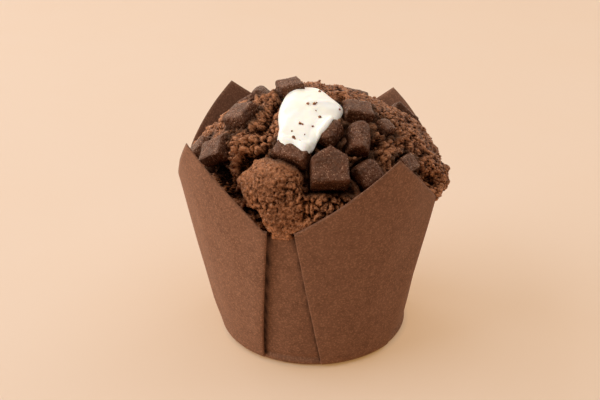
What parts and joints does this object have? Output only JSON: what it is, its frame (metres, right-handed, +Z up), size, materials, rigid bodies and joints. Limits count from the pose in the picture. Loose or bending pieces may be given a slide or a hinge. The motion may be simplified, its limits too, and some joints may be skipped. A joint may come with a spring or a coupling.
{
  "type": "chocolate muffin",
  "caption": "Dark chocolate muffin in a brown paper tulip case, topped with chocolate chunks and a spoonful of white icing.",
  "frame": {"origin": "centre of the flat underside of the paper case, on the surface that it stands on", "axes": "+Z up along the muffin's axis, -Y towards the front, where the icing runs down, +X to the right of that"},
  "size_m": [0.0801, 0.0812, 0.0801],
  "materials": {
    "paper": "matte greaseproof paper",
    "cake": "porous chocolate crumb",
    "chocolate": "satin dark chocolate",
    "icing": "smooth satin icing"
  },
  "bodies": {
    "root": {"paper_wrapper": "paper", "cake": "cake", "chunk_peak": "chocolate", "chunk_ridge": "chocolate", "chunk_upper_left": "chocolate", "chunk_left": "chocolate", "chunk_far_left": "chocolate", "chunk_under_icing": "chocolate", "baton_by_icing": "chocolate", "chunk_upper_right": "chocolate", "baton_upright": "chocolate", "chunk_front": "chocolate", "chunk_front_right": "chocolate", "chunk_behind_petal": "chocolate", "chunk_small": "chocolate", "chunk_back_right": "chocolate", "baton_back": "chocolate", "chunk_back_low": "chocolate", "chunk_back_left": "chocolate", "white_icing": "icing"}
  },
  "joints": []
}
